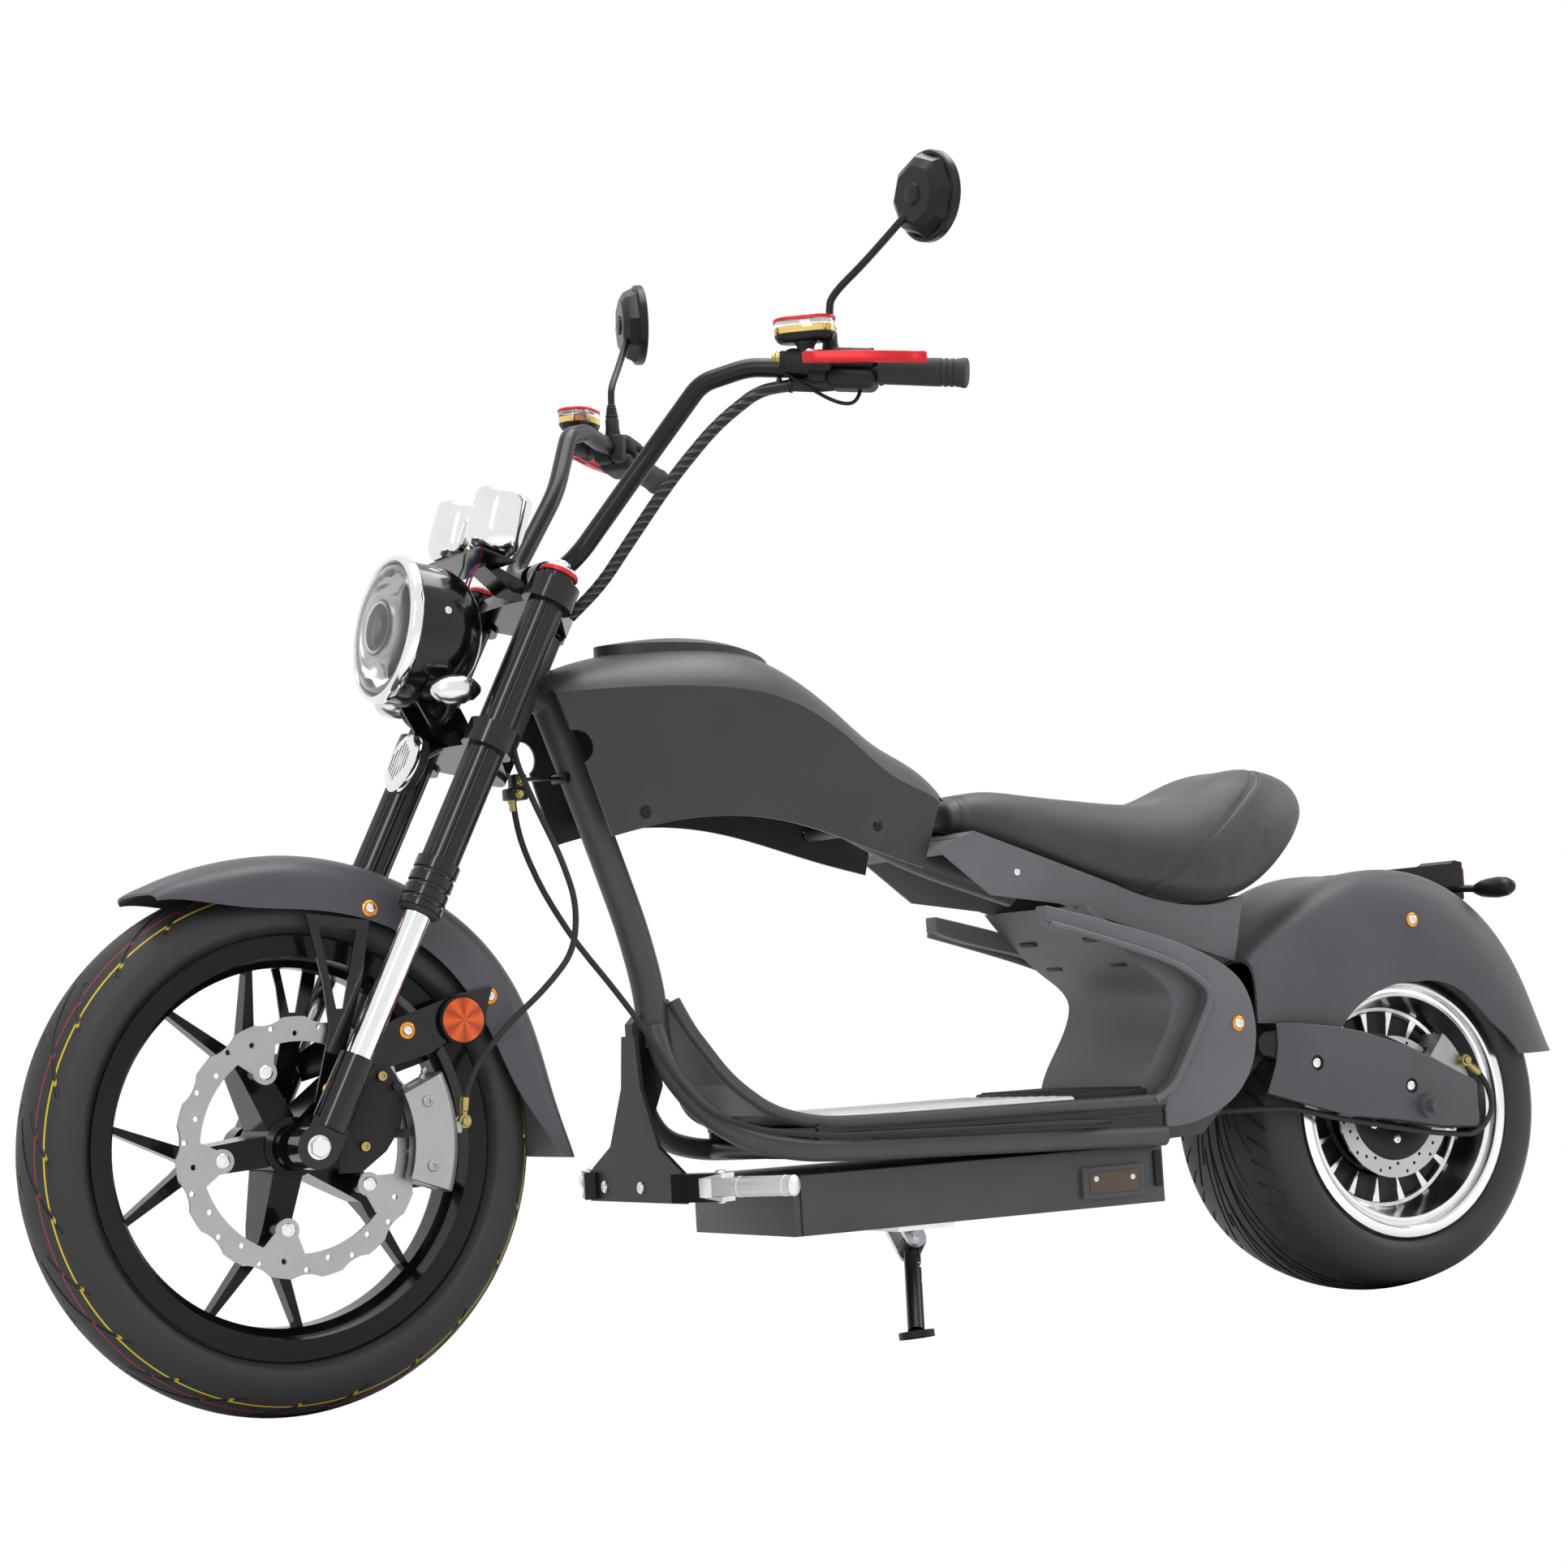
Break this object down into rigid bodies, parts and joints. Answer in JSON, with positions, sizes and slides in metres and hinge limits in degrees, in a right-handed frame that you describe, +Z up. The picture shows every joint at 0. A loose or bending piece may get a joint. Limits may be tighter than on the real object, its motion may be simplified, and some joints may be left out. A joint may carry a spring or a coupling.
{
  "type": "chopper motorcycle",
  "caption": "Low electric chopper motorcycle with a long raked fork, high bars, a step-through floor, a scooped saddle and a very wide rear tyre, leaning on its side stand.",
  "frame": {"origin": "on the ground under the middle of the bounding box", "axes": "+X from the front wheel to the rear wheel, -Y to the rider's left, where the side stand is, +Z up from the ground"},
  "size_m": [2.0919, 0.8296, 1.409],
  "materials": {
    "tyre": "matt",
    "gloss_black": "gloss",
    "steel": "brushed",
    "polished": "polished",
    "satin_black": "satin",
    "grey_paint": "matt",
    "silver": "satin",
    "clear": "clear",
    "rubber": "matt",
    "black_plastic": "matt",
    "red_metal": "gloss",
    "gloss_plastic": "gloss",
    "grey_plastic": "matt",
    "leather": "satin",
    "battery": "matt"
  },
  "bodies": {
    "frame": {"main_frame": "grey_paint", "floor_frame": "grey_paint", "side_loops": "grey_plastic", "seat_cowl": "grey_plastic", "tank_cover": "grey_plastic", "seat": "leather", "battery_box": "grey_paint", "battery_pack": "battery", "brackets": "satin_black", "swingarm": "grey_paint", "rear_axle": "steel", "rear_fender": "grey_plastic", "tail_bracket": "satin_black", "rear_lamps": "black_plastic", "rear_caliper": "silver", "rear_brake_hose": "rubber"},
    "steering": {"stem_clamps": "satin_black", "fork_tubes": "gloss_black", "fork_inners": "polished", "fork_feet": "satin_black", "front_axle": "steel", "front_fender": "grey_paint", "front_caliper": "silver", "headlamp": "polished", "headlamp_lens": "clear", "gauges": "polished", "front_signals": "silver", "handlebar": "satin_black", "grips": "rubber", "controls": "black_plastic", "reservoirs": "clear", "levers": "red_metal", "mirrors": "gloss_plastic", "cable_loom": "rubber", "front_brake_hose": "rubber"},
    "front_wheel": {"front_tyre": "tyre", "front_rim": "gloss_black", "front_disc": "steel"},
    "rear_wheel": {"rear_tyre": "tyre", "rear_rim": "polished", "hub_motor": "gloss_black", "rear_disc": "steel"},
    "side_stand": {"stand_leg": "satin_black"},
    "left_peg": {"peg_left": "silver"},
    "right_peg": {"peg_right": "silver"}
  },
  "joints": [
    {"name": "steering", "type": "hinge", "parent": "frame", "child": "steering", "pos_m": [-0.70639, 0.15269, 0.26637], "axis": [0.4588, -0.1389, 0.8776], "range_deg": [-30, 30]},
    {"name": "front_wheel", "type": "hinge", "parent": "steering", "child": "front_wheel", "pos_m": [-0.75304, 0.14891, 0.29016], "axis": [-0.0003, 0.9877, 0.1564], "continuous": true},
    {"name": "rear_wheel", "type": "hinge", "parent": "frame", "child": "rear_wheel", "pos_m": [0.75445, 0.15745, 0.23867], "axis": [-0.0003, 0.9877, 0.1564], "continuous": true},
    {"name": "side_stand", "type": "hinge", "parent": "frame", "child": "side_stand", "pos_m": [0.00495, 0.09846, 0.11127], "axis": [-0.0838, -0.8332, 0.5466], "range_deg": [0, 100]},
    {"name": "left_peg", "type": "hinge", "parent": "frame", "child": "left_peg", "pos_m": [-0.29296, 0.00229, 0.18972], "axis": [-0.0016, -0.1564, 0.9877], "range_deg": [0, 60]},
    {"name": "right_peg", "type": "hinge", "parent": "frame", "child": "right_peg", "pos_m": [-0.29304, 0.31961, 0.23998], "axis": [0.0016, 0.1564, -0.9877], "range_deg": [0, 60]}
  ]
}
